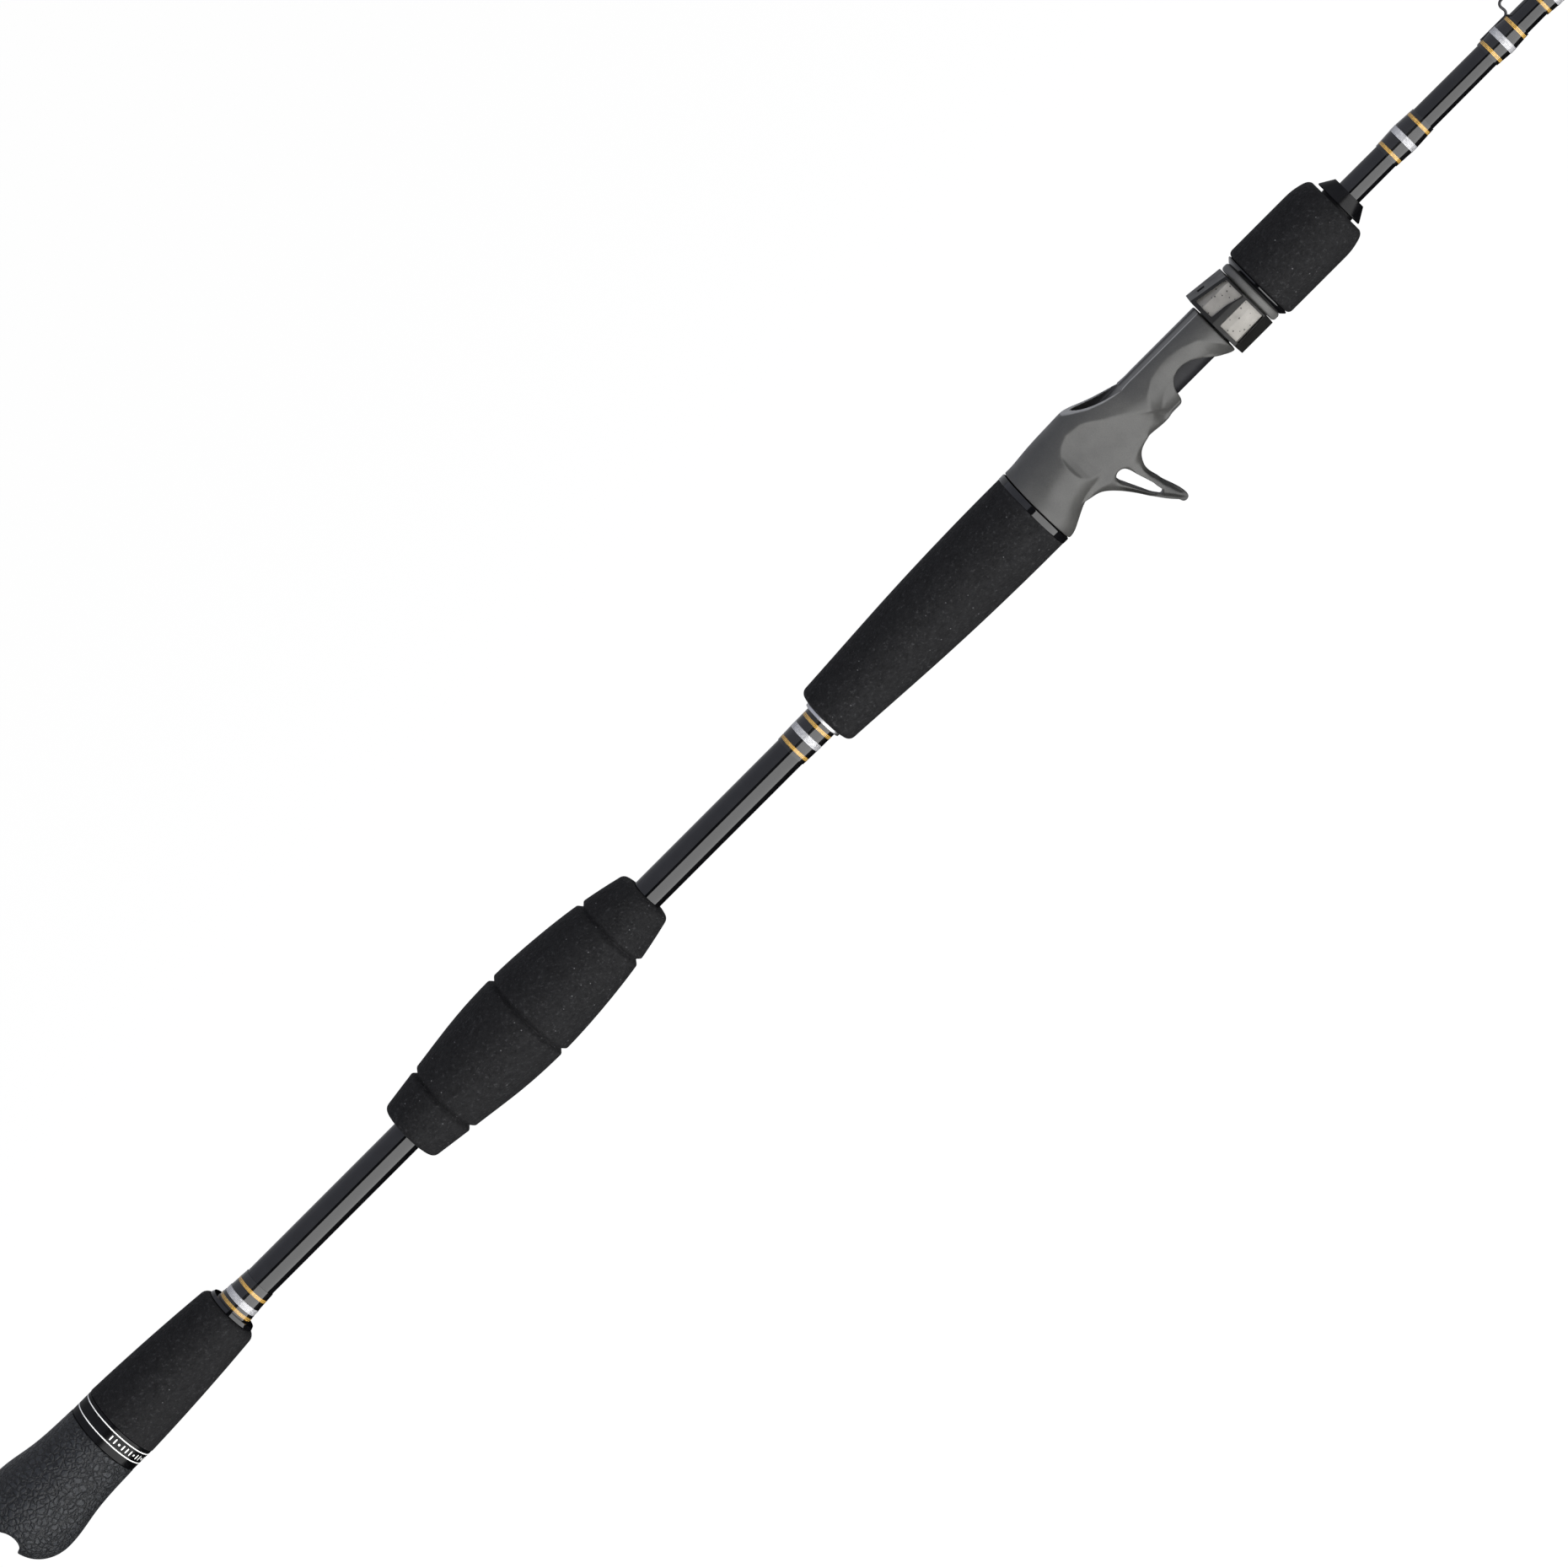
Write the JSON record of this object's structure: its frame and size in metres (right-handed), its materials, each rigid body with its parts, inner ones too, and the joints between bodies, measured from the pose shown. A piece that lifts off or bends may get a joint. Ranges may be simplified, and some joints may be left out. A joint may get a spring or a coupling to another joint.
{
  "type": "casting rod",
  "caption": "One-piece casting rod with split foam grips, a trigger reel seat locked by its fore grip, and ring guides along a tapered blank.",
  "frame": {"origin": "centre of the butt's end face, on the rod's axis", "axes": "+X along the rod from butt to tip, +Z the side with the reel bed and the line guides, the trigger points to -Z"},
  "size_m": [2.032, 0.033, 0.0642],
  "materials": {
    "rubber": "matt, wrinkled",
    "aluminium": "satin",
    "gloss_black": "clear coated",
    "white_ink": "printed",
    "foam": "matt closed-cell foam",
    "graphite": "satin moulded",
    "liner": "speckled",
    "barrel_plastic": "moulded",
    "dark_wire": "black",
    "hood_frame": "satin moulded",
    "nut_plastic": "satin moulded",
    "wrap": "thread under clear coat",
    "gold": "metallic thread under clear coat",
    "silver": "metallic thread under clear coat",
    "guide_metal": "dark plated",
    "ceramic": "polished"
  },
  "bodies": {
    "rod": {"butt_cap": "rubber", "gimbal_insert": "aluminium", "rating_band": "gloss_black", "band_pinstripes": "white_ink", "rear_grip": "foam", "rear_winding_check": "gloss_black", "handle_tube": "gloss_black", "mid_grip": "foam", "grip_washer": "aluminium", "upper_grip": "foam", "seat_trim_ring": "gloss_black", "reel_seat": "graphite", "fixed_hood_liner": "liner", "seat_barrel": "barrel_plastic", "blank": "gloss_black", "front_winding_check": "gloss_black", "hook_keeper": "dark_wire", "rear_trim_wrap": "wrap", "grip_trim_wrap": "wrap", "blank_trim_wrap": "wrap", "keeper_wrap_rear": "wrap", "keeper_wrap_front": "wrap", "gold_bands": "gold", "silver_bands": "silver", "tip_frame": "guide_metal", "tip_ring": "ceramic", "tip_wrap": "wrap", "guide_frame_1": "guide_metal", "guide_ring_1": "ceramic", "guide_wraps_1": "wrap", "guide_frame_2": "guide_metal", "guide_ring_2": "ceramic", "guide_wraps_2": "wrap", "guide_frame_3": "guide_metal", "guide_ring_3": "ceramic", "guide_wraps_3": "wrap", "guide_frame_4": "guide_metal", "guide_ring_4": "ceramic", "guide_wraps_4": "wrap", "guide_frame_5": "guide_metal", "guide_ring_5": "ceramic", "guide_wraps_5": "wrap", "guide_frame_6": "guide_metal", "guide_ring_6": "ceramic", "guide_wraps_6": "wrap", "guide_frame_7": "guide_metal", "guide_ring_7": "ceramic", "guide_wraps_7": "wrap", "guide_frame_8": "guide_metal", "guide_ring_8": "ceramic", "guide_wraps_8": "wrap"},
    "front_hood": {"movable_hood": "hood_frame", "hood_liner": "liner"},
    "nut_and_fore_grip": {"lock_nut": "nut_plastic", "nut_retaining_ring": "aluminium", "nut_trim_ring": "gloss_black", "fore_grip": "foam"}
  },
  "joints": [
    {"name": "nut_turn", "type": "hinge", "parent": "front_hood", "child": "nut_and_fore_grip", "pos_m": [0.575, 0, 0], "axis": [1, 0, 0], "range_deg": [-1805, 0]},
    {"name": "hood_slide", "type": "slide", "parent": "rod", "child": "front_hood", "axis": [1, 0, 0], "range_m": [-0.01, 0]}
  ],
  "couplings": [
    {"joint": "nut_turn", "follows": "hood_slide", "rad_per_m": 3141.6}
  ]
}
